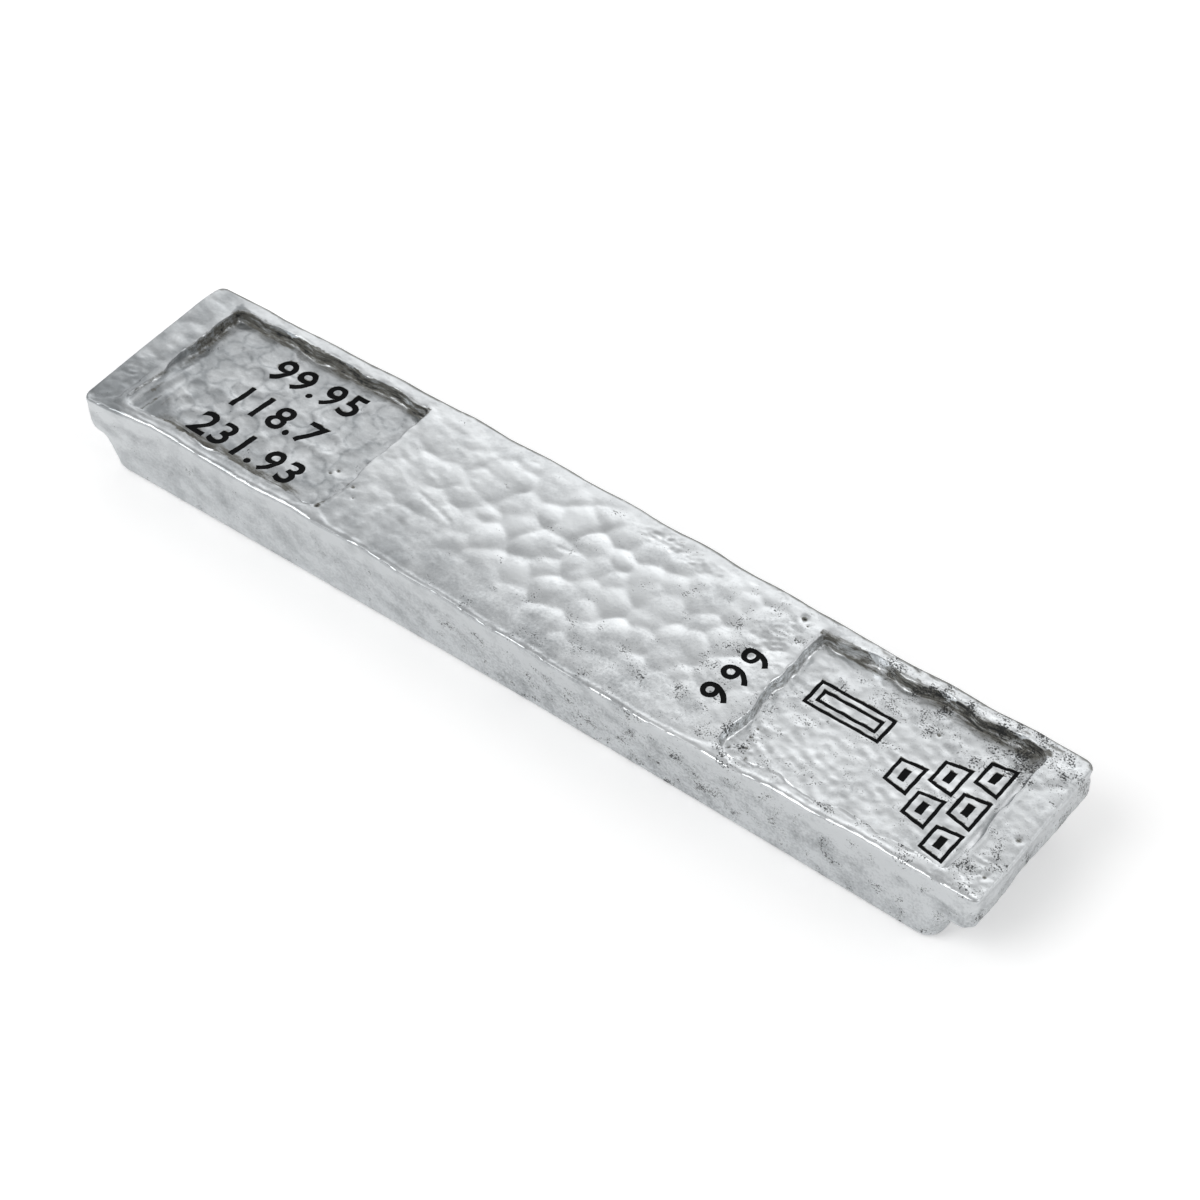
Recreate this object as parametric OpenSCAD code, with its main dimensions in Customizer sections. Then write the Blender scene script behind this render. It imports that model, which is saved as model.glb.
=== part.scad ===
// Small cast tin ingot: a flat bar with a short lip at each end, two sunk panels in its top face,
// and long edges that the casting and the hammer left a little wavy.

/* [Bar] */
// Length over the two end lips
bar_l = 100; // [80:1:140]
// Width across the top face, before the edges' waves
bar_w = 20; // [16:0.2:30]
// Height from the flat base to the top face
bar_h = 8.3; // [7.2:0.1:12]
// Lean of the long sides towards the base, in degrees from upright
side_draft = 1.5; // [0:0.5:8]
// Radius of the long edges of the base
base_edge_r = 0.6; // [0.3:0.1:1]
// Radius of the edge round the top face
top_edge_r = 0.4; // [0.2:0.05:0.6]
// Radius of the upright corners of the top outline
corner_r = 0.9; // [0.8:0.1:2]
// Radius of the one corner that is worn down, at the right end's far side
worn_corner_r = 1.1; // [0.8:0.1:3.5]

/* [Ends] */
// Thickness of the lip at each end, from the top face down
lip_t = 4.3; // [2.5:0.1:4.5]
// Radius of the lower edge of a lip
lip_edge_r = 0.85; // [0.4:0.05:0.9]
// How far the left lip stands out over the body
left_lip_reach = 1.2; // [1.2:0.1:3]
// How far the right lip stands out over the body
right_lip_reach = 2.4; // [1.2:0.1:3]
// Lean of the body's left end under its lip, in degrees from upright
left_end_draft = 23; // [5:1:35]
// Lean of the body's right end under its lip, in degrees from upright
right_end_draft = 18; // [5:1:35]
// Radius of the base edge at both ends
end_base_r = 1.2; // [0.8:0.1:1.6]
// Radius of the body's upright corners under the lips
body_corner_r = 1.5; // [0.8:0.1:2]

/* [Sunk panels] */
// Length of a panel at the top face
panel_l = 24; // [16:0.5:30]
// Width of the rim between a panel and its end of the bar
end_rim = 3.6; // [2.5:0.1:6]
// Width of the rim between a panel and a long side
side_rim = 1.5; // [1:0.1:3]
// Depth of the panel floors below the top face
panel_depth = 1.35; // [0.8:0.1:2.4]
// Lean of the panel walls, in degrees from upright
panel_draft = 12; // [5:1:35]
// Radius of the panels' corners at the floor
panel_corner_r = 0.7; // [0.4:0.1:1.5]
// Radius of the worn edge where a panel wall meets the top face
panel_mouth_r = 0.2; // [0.1:0.05:0.5]
// Radius of the hollow where a panel wall meets its floor
panel_floor_r = 0.25; // [0.1:0.05:0.6]

/* [Hand finish] */
// Height of the long slow wave in the near edge
near_sway = 0.4; // [0:0.05:0.6]
// Distance between two crests of the near edge's slow wave
near_sway_pitch = 66; // [40:1:120]
// Height of the long slow wave in the far edge
far_sway = 0.3; // [0:0.05:0.6]
// Distance between two crests of the far edge's slow wave
far_sway_pitch = 85; // [40:1:120]
// Height of the short ripple that hammering left in both long edges
ripple = 0.1; // [0:0.02:0.25]
// Distance between two crests of the ripple
ripple_pitch = 9; // [6:0.5:20]
// How far both long base edges draw in at the middle of the bar
base_waist = 0.45; // [0:0.05:0.6]
// Depth of the dent in the near edge beside the left panel
dent_depth = 0.6; // [0:0.05:0.8]
// Length of that dent along the edge
dent_l = 16; // [8:1:30]
// How far the corners of the left end stand back from its middle
left_bulge = 0.1; // [0:0.05:0.8]
// How far the far side of the right end falls back behind its near side
right_skew = 0.05; // [0:0.05:0.6]

/* [Hidden] */

half_l = bar_l / 2;
half_w = bar_w / 2;
// Left edges of the two panels
left_panel_x = -half_l + end_rim;
right_panel_x = half_l - end_rim - panel_l;
// Height of the lips' underside, and the small drop over which it runs back to the body
lip_z = bar_h - lip_t;
lip_drop = 0.12;
root_r = 0.3;
root_z = lip_z - lip_drop - root_r;
// Places along the bar, measured from its middle, that the waves and the dent hang on
near_crest_x = -20;
far_crest_x = -9;
dent_x = left_panel_x + 6;
// Steps of a rounded edge and of a corner
edge_steps = 4;
corner_steps = 4;
// Stations along the long sides and the ends: the waves are drawn through them
side_step = 2.25;
end_step = 2;
end_n = 2 * ceil((bar_w - 2 * worn_corner_r) / end_step / 2);
// The first and last station of a panel stand this far inside it, and those of the field between the
// panels this far outside the panels
panel_margin = 2.5;
field_margin = 1.5;

// Sideways shift of the near and of the far long edge at x, at the top face and at the base
function raised(t) = abs(t) < 1 ? (1 + cos(180 * t)) / 2 : 0;
function near_shift(x) =
    near_sway * cos(360 * (x - near_crest_x) / near_sway_pitch)
    + ripple * sin(360 * x / ripple_pitch)
    + dent_depth * raised((x - dent_x) / dent_l * 2);
function far_shift(x) =
    far_sway * cos(360 * (x - far_crest_x) / far_sway_pitch)
    + ripple * sin(360 * x / ripple_pitch + 110);
function waist_shift(x) = base_waist * cos(180 * x / bar_l);

// Lengthways shift of the left and of the right end at y
function left_shift(y) = left_bulge * (1 - cos(90 * y / half_w));
function right_shift(y) = -right_skew * (1 - raised((y + half_w) / bar_w));

// The bar is drawn straight and then bent by these shifts, each of which fades to the other side
function mix(a, b, t) = a + (b - a) * t;
function bent(p, z) = let (
        across = (p.y / half_w + 1) / 2,
        along = (p.x / half_l + 1) / 2,
        up = z / bar_h,
        near = mix(waist_shift(p.x), near_shift(p.x), up),
        far = mix(-waist_shift(p.x), far_shift(p.x), up)
    ) [
        p.x + left_shift(p.y) * pow(1 - along, 6) + right_shift(p.y) * pow(along, 6),
        p.y + mix(near, far, across),
        z
    ];

// Stations along the bar: over the left panel, over the field between the panels, over the right panel
function spread(a, b, n) = [for (i = [0 : n]) mix(a, b, i / n)];
panel_n = ceil((panel_l - 2 * panel_margin) / side_step);
function panel_stations(x0) = spread(x0 + panel_margin, x0 + panel_l - panel_margin, panel_n);
field_l = right_panel_x - (left_panel_x + panel_l) - 2 * field_margin;
field_n = ceil(field_l / side_step);
bar_stations = concat(
    panel_stations(left_panel_x),
    spread(-field_l / 2, field_l / 2, field_n),
    panel_stations(right_panel_x)
);
bar_n = len(bar_stations) - 1;

// A rectangle with four radii (near left, near right, far right, far left) and with points at the
// stations along its long sides, so that the outlines of one stack match point by point
function arc(cx, cy, r, from) = [
    for (i = [0 : corner_steps]) let (a = from + 90 * i / corner_steps) [cx + r * cos(a), cy + r * sin(a)]
];
function between(x, y0, y1) = [for (i = [1 : end_n - 1]) [x, mix(y0, y1, i / end_n)]];
function outline(x0, x1, y0, y1, r, stations) = let (last = len(stations) - 1) concat(
    arc(x0 + r[0], y0 + r[0], r[0], 180),
    [for (x = stations) [x, y0]],
    arc(x1 - r[1], y0 + r[1], r[1], 270),
    between(x1, y0 + r[1], y1 - r[2]),
    arc(x1 - r[2], y1 - r[2], r[2], 0),
    [for (i = [last : -1 : 0]) [stations[i], y1]],
    arc(x0 + r[3], y1 - r[3], r[3], 90),
    between(x0, y1 - r[3], y0 + r[0])
);

// Inset at height z of a wall that starts at height z0 with inset start, leans in by draft degrees
// below that, and turns into the flat base with radius r
function wall_inset(z, z0, start, draft, r) = let (
        centre = start + (z0 - r) * tan(draft) + r / cos(draft)
    ) z >= r * (1 - sin(draft)) ? start + (z0 - z) * tan(draft) : centre - sqrt(r * r - pow(r - z, 2));
function side_inset(z) = wall_inset(z, bar_h - top_edge_r, 0, side_draft, base_edge_r);

// Levels of the bar, from the base up: [height, left inset, right inset, side inset, corner radius,
// worn corner radius]
function body_level(z) = [
    z,
    wall_inset(z, root_z, left_lip_reach, left_end_draft, end_base_r),
    wall_inset(z, root_z, right_lip_reach, right_end_draft, end_base_r),
    side_inset(z),
    body_corner_r,
    body_corner_r
];
function underside_level(z) =
    [z, left_lip_reach - root_r, right_lip_reach - root_r, side_inset(z), body_corner_r, body_corner_r];
function lip_level(z, inset) = [z, inset, inset, side_inset(z), corner_r, worn_corner_r];
function top_level(z, inset) = [z, inset, inset, inset, corner_r - inset / 2, worn_corner_r - inset / 2];
bar_levels = concat(
    [for (i = [0 : edge_steps]) body_level(end_base_r * (1 - cos(90 * i / edge_steps)))],
    [body_level((end_base_r + root_z) / 2), body_level(root_z), underside_level(lip_z - lip_drop)],
    [for (i = [0 : edge_steps]) let (a = 90 * i / edge_steps)
        lip_level(lip_z + lip_edge_r * (1 - cos(a)), lip_edge_r * (1 - sin(a)))],
    [for (i = [0 : edge_steps]) let (a = 90 * i / edge_steps)
        top_level(bar_h - top_edge_r * (1 - sin(a)), top_edge_r * (1 - cos(a)))]
);
function bar_ring(l) = let (
        x0 = -half_l + l[1],
        x1 = half_l - l[2],
        y = half_w - l[3],
        stations = [for (x = bar_stations) mix(x0, x1, (x + half_l) / bar_l)]
    ) [for (p = outline(x0, x1, -y, y, [l[4], l[4], l[5], l[4]], stations)) bent(p, l[0])];
bar_rings = [for (l = bar_levels) bar_ring(l)];

// Levels of a panel, from its mouth down to its floor: [height, inset from the mouth]. The worn mouth
// and the hollow at the floor are arcs tangent to the leaning wall
wall_run = (panel_depth - (panel_floor_r + panel_mouth_r) * (1 - sin(panel_draft))) * tan(panel_draft);
panel_run = (panel_floor_r + panel_mouth_r) * cos(panel_draft) + wall_run;
panel_levels = concat(
    [for (i = [edge_steps : -1 : 0]) let (a = mix(panel_draft, 90, i / edge_steps))
        [bar_h - panel_mouth_r * (1 - sin(a)), panel_mouth_r * cos(a)]],
    [for (i = [edge_steps : -1 : 0]) let (a = (90 - panel_draft) * i / edge_steps)
        [bar_h - panel_depth + panel_floor_r * (1 - cos(a)), panel_run - panel_floor_r * sin(a)]]
);
function panel_ring(x0, l) = let (
        y = half_w - side_rim - l[1],
        r = panel_corner_r + (panel_run - l[1]) / 2
    ) [for (p = outline(x0 + l[1], x0 + panel_l - l[1], -y, y, [r, r, r, r], panel_stations(x0))) bent(p, l[0])];
function panel_rings(x0) = [for (l = panel_levels) panel_ring(x0, l)];

// A ring of points is named by [number of its first point, how many points it has]. A run of it starts
// at station i of its near side (turn 0) or, counted from the other end, of its far side (turn 1)
function run(ring, i, turn, count) = [
    for (k = [0 : count - 1]) ring[0] + (corner_steps + 1 + i + turn * ring[1] / 2 + k) % ring[1]
];
function station(ring, i, turn) = run(ring, i, turn, 1)[0];
// Points of a run round an end, from the last station of one side to the first of the other
end_count = 2 * corner_steps + end_n + 3;

// Triangles between two runs with as many points, facing whoever sees a below b and both running right
function strip(a, b) = [for (k = [0 : len(a) - 2]) each [[b[k], b[k + 1], a[k + 1]], [b[k], a[k + 1], a[k]]]];
function skin(first, rings) = let (n = len(rings[0])) [
    for (k = [0 : len(rings) - 2]) each strip(
        run([first + k * n, n], 0, 0, n + 1),
        run([first + (k + 1) * n, n], 0, 0, n + 1)
    )
];
function last_ring(first, rings) = let (n = len(rings[0])) [first + (len(rings) - 1) * n, n];

// Four-sided faces across a ring, from station i0 to station i1, facing down
function across(ring, last, i0, i1) = [
    for (i = [i0 : i1 - 1]) [
        station(ring, i, 0), station(ring, i + 1, 0),
        station(ring, last - i - 1, 1), station(ring, last - i, 1)
    ]
];
function cap(ring, last) = concat(
    across(ring, last, 0, last),
    [for (turn = [0, 1]) run(ring, last, turn, end_count)]
);
function flipped(faces) = [for (f = faces) [for (i = [len(f) - 1 : -1 : 0]) f[i]]];

// Top face round one panel: a frame that follows the bar's edge, and fans from the field's first
// station on each side to the panel's inner end. Turn 0 is the left panel, turn 1 the right one
function rim(top, mouth, turn) = let (
        inner = run(mouth, panel_n, turn, end_count),
        half = (end_count - 1) / 2,
        frame_count = 2 * panel_n + end_count,
        near_hub = station(top, panel_n + 1, turn),
        far_hub = station(top, bar_n - panel_n - 1, turn + 1)
    ) concat(
        strip(run(top, bar_n - panel_n, turn + 1, frame_count), run(mouth, 0, turn + 1, frame_count)),
        [
            concat([near_hub, station(top, panel_n, turn)], [for (k = [0 : half]) inner[k]]),
            [near_hub, inner[half], far_hub],
            concat([far_hub], [for (k = [half : 2 * half]) inner[k]], [station(top, bar_n - panel_n, turn + 1)])
        ]
    );

// The waves shift the outline off the middle, so the finished bar is moved back by half of what it gained
outer = [for (r = bar_rings) each r];
xs = [for (p = outer) p.x];
ys = [for (p = outer) p.y];
to_middle = -[(min(xs) + max(xs)) / 2, (min(ys) + max(ys)) / 2, 0];

module ingot() {
    left = panel_rings(left_panel_x);
    right = panel_rings(right_panel_x);
    left_first = len(outer);
    right_first = left_first + len(left) * len(left[0]);
    top = last_ring(0, bar_rings);
    mouth_n = len(left[0]);
    color("#b8bbbf") translate(to_middle) polyhedron(
        concat(outer, [for (r = left) each r], [for (r = right) each r]),
        concat(
            cap([0, top[1]], bar_n),
            skin(0, bar_rings),
            rim(top, [left_first, mouth_n], 0),
            flipped(across(top, bar_n, panel_n + 1, bar_n - panel_n - 1)),
            rim(top, [right_first, mouth_n], 1),
            skin(left_first, left),
            skin(right_first, right),
            flipped(cap(last_ring(left_first, left), panel_n)),
            flipped(cap(last_ring(right_first, right), panel_n))
        )
    );
}

ingot();
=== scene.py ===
import math
import random

import bmesh
import bpy
import numpy as np
from mathutils import Matrix, Vector, noise


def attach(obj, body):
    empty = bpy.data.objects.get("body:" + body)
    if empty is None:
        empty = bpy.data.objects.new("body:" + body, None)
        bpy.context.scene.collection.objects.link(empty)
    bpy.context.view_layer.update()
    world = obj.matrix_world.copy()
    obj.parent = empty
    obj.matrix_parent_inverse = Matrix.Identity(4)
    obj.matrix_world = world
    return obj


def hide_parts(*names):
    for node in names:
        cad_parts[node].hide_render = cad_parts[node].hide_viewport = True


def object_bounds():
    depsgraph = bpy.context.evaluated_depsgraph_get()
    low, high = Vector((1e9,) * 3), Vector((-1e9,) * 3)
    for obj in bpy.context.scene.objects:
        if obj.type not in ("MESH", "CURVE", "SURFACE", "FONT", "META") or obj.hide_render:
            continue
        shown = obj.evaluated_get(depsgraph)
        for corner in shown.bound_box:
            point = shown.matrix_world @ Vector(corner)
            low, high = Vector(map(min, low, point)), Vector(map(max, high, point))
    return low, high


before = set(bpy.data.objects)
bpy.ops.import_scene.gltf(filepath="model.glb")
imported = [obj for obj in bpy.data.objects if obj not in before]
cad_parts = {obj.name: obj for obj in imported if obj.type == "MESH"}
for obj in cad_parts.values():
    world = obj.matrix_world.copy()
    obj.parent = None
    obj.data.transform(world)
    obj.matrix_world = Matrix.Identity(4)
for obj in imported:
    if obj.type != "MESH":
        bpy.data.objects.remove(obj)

bl_info = {
    "name": "Cast Tin Ingot",
    "version": (1, 0, 0),
    "blender": (4, 5, 0),
    "location": "3D View > Sidebar > Ingot",
    "description": "Dresses a small cast tin ingot: relief, marks, finishes, floor, lamps and camera",
    "category": "Add Mesh",
}

MM = 0.001
CASTING = "tin_casting"
FILLS = ("panel_number_fill", "edge_number_fill", "picture_fill")

CAD_LOW, CAD_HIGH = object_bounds()
TOP_Z = CAD_HIGH.z
# The panel floors are the lowest points that the frame's mesh has in the ingot's upper third
UPPER = [v.co.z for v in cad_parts["ingot"].data.vertices if v.co.z > TOP_Z * 2 / 3]
FLOOR_Z = min(UPPER)


def linear(code):
    """Linear colour of an sRGB hex code."""
    parts = [int(code[i : i + 2], 16) / 255 for i in (1, 3, 5)]
    return tuple(c / 12.92 if c <= 0.04045 else ((c + 0.055) / 1.055) ** 2.4 for c in parts)


class IngotReliefSettings(bpy.types.PropertyGroup):
    """Sizes of the casting's surface relief."""

    grid: bpy.props.FloatProperty(
        name="Grid", description="Mesh size that the relief is laid on",
        default=0.17 * MM, unit="LENGTH", precision=5,
    )
    face_count: bpy.props.IntProperty(
        name="Triangles", description="Triangles that are kept in the casting", default=175000
    )
    lump_spacing: bpy.props.FloatProperty(
        name="Lump spacing", description="Distance between the rounded lumps of the top face",
        default=2.8 * MM, unit="LENGTH", precision=5,
    )
    lump_height: bpy.props.FloatProperty(
        name="Lump height", description="Height of a lump over the valleys round it",
        default=0.33 * MM, unit="LENGTH", precision=5,
    )
    dimple_spacing: bpy.props.FloatProperty(
        name="Dimple spacing", description="Distance between the faint dimples of the sides and panel floors",
        default=2.3 * MM, unit="LENGTH", precision=5,
    )
    dimple_depth: bpy.props.FloatProperty(
        name="Dimple depth", description="Depth of a dimple", default=0.2 * MM, unit="LENGTH", precision=5
    )
    mouth_stray: bpy.props.FloatProperty(
        name="Mouth stray", description="How far the panels' edges stray from a straight line",
        default=0.26 * MM, unit="LENGTH", precision=5,
    )


class IngotMarkSettings(bpy.types.PropertyGroup):
    """What is engraved, and how."""

    groove_depth: bpy.props.FloatProperty(
        name="Groove depth", description="Depth of the engraving",
        default=0.3 * MM, unit="LENGTH", precision=5,
    )
    fill_drop: bpy.props.FloatProperty(
        name="Fill drop", description="How far the black fill lies under the metal's surface",
        default=0.04 * MM, unit="LENGTH", precision=5,
    )
    number_height: bpy.props.FloatProperty(
        name="Number height", description="Height of the figures in the left panel",
        default=3.2 * MM, unit="LENGTH", precision=5,
    )
    stroke: bpy.props.FloatProperty(
        name="Stroke", description="Width of the strokes of the figures",
        default=0.58 * MM, unit="LENGTH", precision=5,
    )
    line: bpy.props.FloatProperty(
        name="Line", description="Width of the picture's lines", default=0.36 * MM, unit="LENGTH", precision=5
    )
    stray: bpy.props.FloatProperty(
        name="Stray", description="How far a hand-cut edge strays",
        default=0.05 * MM, unit="LENGTH", precision=5,
    )


class IngotFinishSettings(bpy.types.PropertyGroup):
    """Colours of the metal, its oxide, the painted shade and the fill."""

    tin: bpy.props.FloatVectorProperty(
        name="Tin", description="Colour of the clean metal", subtype="COLOR", default=linear("#dfe2e4")
    )
    # Also used for painted shade: the dimple rings, the left panel's floor near its walls and the far edge
    dull_and_shade: bpy.props.FloatVectorProperty(
        name="Dull tin and shade", description="Colour where the metal has dulled", subtype="COLOR",
        default=linear("#9da1a4"),
    )
    # Also the colour of painted shade on the panel walls, at their feet, along a panel mouth and along the
    # far edge
    oxide_and_shade: bpy.props.FloatVectorProperty(
        name="Oxide and shade", description="Colour of the dark oxide in the low corners", subtype="COLOR",
        default=linear("#605f59"),
    )
    # Also the colour of the deepest painted shade
    soot_and_deep_shade: bpy.props.FloatVectorProperty(
        name="Soot and deep shade", description="Colour of the pin holes and of the darkest oxide", subtype="COLOR",
        default=linear("#232425"),
    )
    fill: bpy.props.FloatVectorProperty(
        name="Fill", description="Colour of the black enamel", subtype="COLOR", default=linear("#0c0d0e")
    )
    floor: bpy.props.FloatVectorProperty(
        name="Floor", description="Colour of the floor", subtype="COLOR", default=linear("#f2f2f2")
    )


class IngotStageSettings(bpy.types.PropertyGroup):
    """Where the camera stands."""

    azimuth: bpy.props.FloatProperty(
        name="Azimuth", description="Turn of the camera round the ingot", default=math.radians(36.32),
        unit="ROTATION",
    )
    elevation: bpy.props.FloatProperty(
        name="Elevation", description="Height of the camera as an angle", default=math.radians(47.62),
        unit="ROTATION",
    )
    roll: bpy.props.FloatProperty(
        name="Roll", description="Roll of the camera", default=math.radians(0.97), unit="ROTATION"
    )
    distance: bpy.props.FloatProperty(
        name="Distance", description="Distance from the camera to the point it looks at",
        default=302.5 * MM, unit="LENGTH",
    )
    target: bpy.props.FloatVectorProperty(
        name="Target", description="Point that the camera looks at", subtype="TRANSLATION", unit="LENGTH",
        default=(4.73 * MM, -1.43 * MM, TOP_Z),
    )
    lens: bpy.props.FloatProperty(
        name="Lens", description="Focal length on a 36 mm sensor, in mm", default=101.6
    )


def new_object(name, mesh):
    obj = bpy.data.objects.new(name, mesh)
    bpy.context.scene.collection.objects.link(obj)
    return obj


def finished_mesh(obj):
    """The object's mesh with its modifiers applied."""
    depsgraph = bpy.context.evaluated_depsgraph_get()
    return bpy.data.meshes.new_from_object(obj.evaluated_get(depsgraph), depsgraph=depsgraph)


def settle(obj):
    """Applies an object's modifiers."""
    mesh = finished_mesh(obj)
    obj.modifiers.clear()
    obj.data = mesh


def read_vectors(mesh, key):
    """Positions (co) or normals (normal) of a mesh's vertices, one row each."""
    out = np.empty(len(mesh.vertices) * 3)
    mesh.vertices.foreach_get(key, out)
    return out.reshape(-1, 3)


def smooth(value, low, high):
    """0 before low, 1 after high and an S curve between them; low may be the larger."""
    t = np.clip((value - low) / (high - low), 0, 1)
    return t * t * (3 - 2 * t)


def near_zero(value, reach):
    """1 at zero, falling off as a bell of that reach."""
    return np.exp(-((value / reach) ** 2))


def waves(points, length, seed, count=28):
    """A random swell with that wavelength, about -1 to 1, from plane waves in random directions."""
    rng = np.random.default_rng(seed)
    ways = rng.normal(size=(count, points.shape[1]))
    ways /= np.linalg.norm(ways, axis=1)[:, None]
    ways *= 2 * math.pi / (length * rng.uniform(0.75, 1.35, size=(count, 1)))
    return np.cos(points @ ways.T + rng.uniform(0, 2 * math.pi, count)).sum(1) / math.sqrt(count)


def scatter(low, high, spacing, seed):
    """Jittered points of a staggered grid that fills a box: x, y, height and width of a lump there."""
    rng = random.Random(seed)
    stray = 0.36 * spacing
    row_gap = spacing * math.sqrt(0.75)
    found = []
    for row in range(math.ceil((high[1] - low[1]) / row_gap) + 1):
        for column in range(math.ceil((high[0] - low[0]) / spacing) + 2):
            x = low[0] + (column - 0.5 * (row % 2)) * spacing + rng.uniform(-stray, stray)
            y = low[1] + row * row_gap + rng.uniform(-stray, stray)
            found.append((x, y, rng.uniform(0.6, 1.0), rng.uniform(0.78, 1.2)))
    return np.array(found)


def lumps(flat, centres, spacing, blend=8.0, block=8192):
    """Domes side by side, 1 at the highest crown and about 0.45 in a valley; a lower blend makes the
    valleys softer."""
    out = np.empty(len(flat))
    for start in range(0, len(flat), block):
        part = flat[start : start + block]
        gap = ((part[:, None, :] - centres[None, :, :2]) ** 2).sum(2)
        crown = 0.5 + 0.5 * centres[:, 2] - 1.6 * gap / (spacing * centres[:, 3]) ** 2
        peak = crown.max(1)
        out[start : start + block] = peak + np.log(np.exp(blend * (crown - peak[:, None])).sum(1)) / blend
    return out


def border(points, side):
    """The points' outermost y on one side (-1 near, 1 far), as a function of x, all in mm."""
    step = 2.5
    slots = np.round(points[:, 0] / step)
    found = []
    for slot in np.unique(slots):
        group = points[slots == slot]
        found.append(group[np.argmax(side * group[:, 1])])
    found = np.array(found)
    return lambda x: np.interp(x, found[:, 0], found[:, 1])


class Shape:
    """Where the top face's edges and the panels' floors are, in mm, read from the frame's own mesh."""

    def __init__(self):
        points = read_vectors(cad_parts["ingot"].data, "co") / MM
        self.top, self.floor = TOP_Z / MM, FLOOR_Z / MM
        level = 0.01
        rim = points[np.abs(points[:, 2] - self.top) < level]
        self.near_edge, self.far_edge = border(rim, -1), border(rim, 1)
        self.left_end, self.right_end = rim[:, 0].min(), rim[:, 0].max()
        floors = points[np.abs(points[:, 2] - self.floor) < level]
        self.panels = []
        for side in (-1, 1):
            part = floors[side * floors[:, 0] > 0]
            self.panels.append((part[:, 0].min(), part[:, 0].max(), border(part, -1), border(part, 1)))

    def feet(self, x, y):
        """Distances to the left, right, near and far wall's foot of the panel on the same half of the
        ingot; positive over the floor."""
        both = []
        for left, right, near, far in self.panels:
            both.append(np.array([x - left, right - x, y - near(x), far(x) - y]))
        return np.where(x < 0, both[0], both[1])


# The panel floors' dimples are found again by this seed, where their slopes get a ring of painted shade
FLOOR_SEED = 23

# Places that the photo shows on the top face and the panel floors, in mm
# Pits: x, y, radius, depth, and how dark the pit is
PITS = (
    (20.4, 8.1, 0.34, 0.22, 1.0), (21.2, 7.4, 0.16, 0.1, 0.8), (-21.0, -5.0, 0.17, 0.12, 1.0),
    (-21.9, -3.9, 0.3, 0.12, 0.6), (-25.1, -2.3, 0.3, 0.12, 0.7), (-25.5, -2.9, 0.26, 0.1, 0.7),
    (49.0, -1.6, 0.42, 0.14, 0.75), (48.8, -6.6, 0.3, 0.12, 0.6), (36.9, 4.9, 0.26, 0.14, 0.9),
    (24.0, -4.2, 0.2, 0.1, 1.0), (24.1, -5.4, 0.17, 0.1, 1.0), (24.5, -6.6, 0.2, 0.1, 1.0),
    (25.1, -7.6, 0.22, 0.1, 1.0), (26.0, -8.1, 0.16, 0.08, 0.9), (23.2, -7.4, 0.2, 0.1, 0.8),
)
# Scratches: start, end, width, depth
SCRATCHES = (((-16.4, -0.8), (-12.2, -1.9), 0.3, 0.07), ((-2.2, 1.5), (-0.4, 2.1), 0.25, 0.05))
# Rough skin: x, y, reach along x and y, height
ROUGH_SPOTS = (
    (4.6, 8.2, 2.4, 0.9, 0.07), (9.5, 7.6, 2.6, 0.8, 0.04), (48.0, -6.8, 1.2, 2.0, 0.06),
    (20.0, 4.0, 1.6, 3.0, 0.04), (24.3, -6.0, 1.2, 2.2, 0.04), (44.2, 6.6, 2.4, 1.4, 0.05),
    (-48.2, -5.0, 1.2, 2.0, 0.03), (36.0, 9.3, 9.0, 0.5, 0.03),
)


def marks_relief(x, y, rough):
    """Pits, scratches and rough skin, in mm."""
    out = np.zeros(len(x))
    for px, py, radius, depth, _ in PITS:
        out -= depth * near_zero(np.hypot(x - px, y - py), radius)
    for (x0, y0), (x1, y1), width, depth in SCRATCHES:
        way = np.array([x1 - x0, y1 - y0])
        share = np.clip(((x - x0) * way[0] + (y - y0) * way[1]) / (way @ way), 0, 1)
        out -= depth * near_zero(np.hypot(x - x0 - share * way[0], y - y0 - share * way[1]), width)
    for px, py, reach_x, reach_y, height in ROUGH_SPOTS:
        out += height * near_zero(np.hypot((x - px) / reach_x, (y - py) / reach_y), 1) * (rough - 1)
    return out


def top_relief(shape, p, swell, grain, fine, settings):
    """The lumpy top face: always below the frame's level, in mm."""
    x, y = p[:, 0], p[:, 1]
    spacing, height = settings.lump_spacing / MM, settings.lump_height / MM
    low, high = CAD_LOW / MM, CAD_HIGH / MM
    # The cells of the lumps are a little crooked
    warp = 0.2 * np.stack([waves(p[:, :2], 5, 61, 12), waves(p[:, :2], 5, 62, 12)], 1)
    flat = p[:, :2] + warp
    coarse = lumps(flat, scatter(low, high, spacing, 11), spacing)
    small = 0.85 * spacing
    # Towards the left end the lumps are drawn out along the bar
    squeeze = 0.72
    close = lumps(flat * np.array([squeeze, 1.0]), scatter(low * squeeze, high, small, 17), small)
    from_near = y - shape.near_edge(x)
    from_far = shape.far_edge(x) - y
    field = smooth(np.abs(x), 23, 18)
    middle = smooth(x, -15, -8) * smooth(x, 19, 11)
    left_rim = smooth(x, -45, -47)
    strength = 0.35 + 0.4 * field + 0.25 * field * middle + 0.3 * left_rim
    strength *= 0.3 + 0.7 * smooth(from_near, 1.2, 6.5)
    strength *= 0.1 + 0.9 * smooth(from_far, 0.2, 2.4)
    coarse_share = smooth(x + 3 * swell, -14, -8) * smooth(x, 46, 40) * smooth(from_near + swell, 0, 5)
    lumpy = height * strength * (coarse_share * (coarse - 1) + (1 - coarse_share) * 0.75 * (close - 1))
    # Behind the near edge's beaded ridge the face is a little hollow
    bead = 0.75 + 0.25 * waves(x[:, None], 2.2, 63, 9)
    hollow = -0.12 * smooth(from_near, 7, 2.5) * smooth(from_near, 0.05, 0.5) * bead
    roughness = 1 - 0.5 * field * middle
    return lumpy + hollow + roughness * (0.014 * grain + 0.005 * fine)


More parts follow.
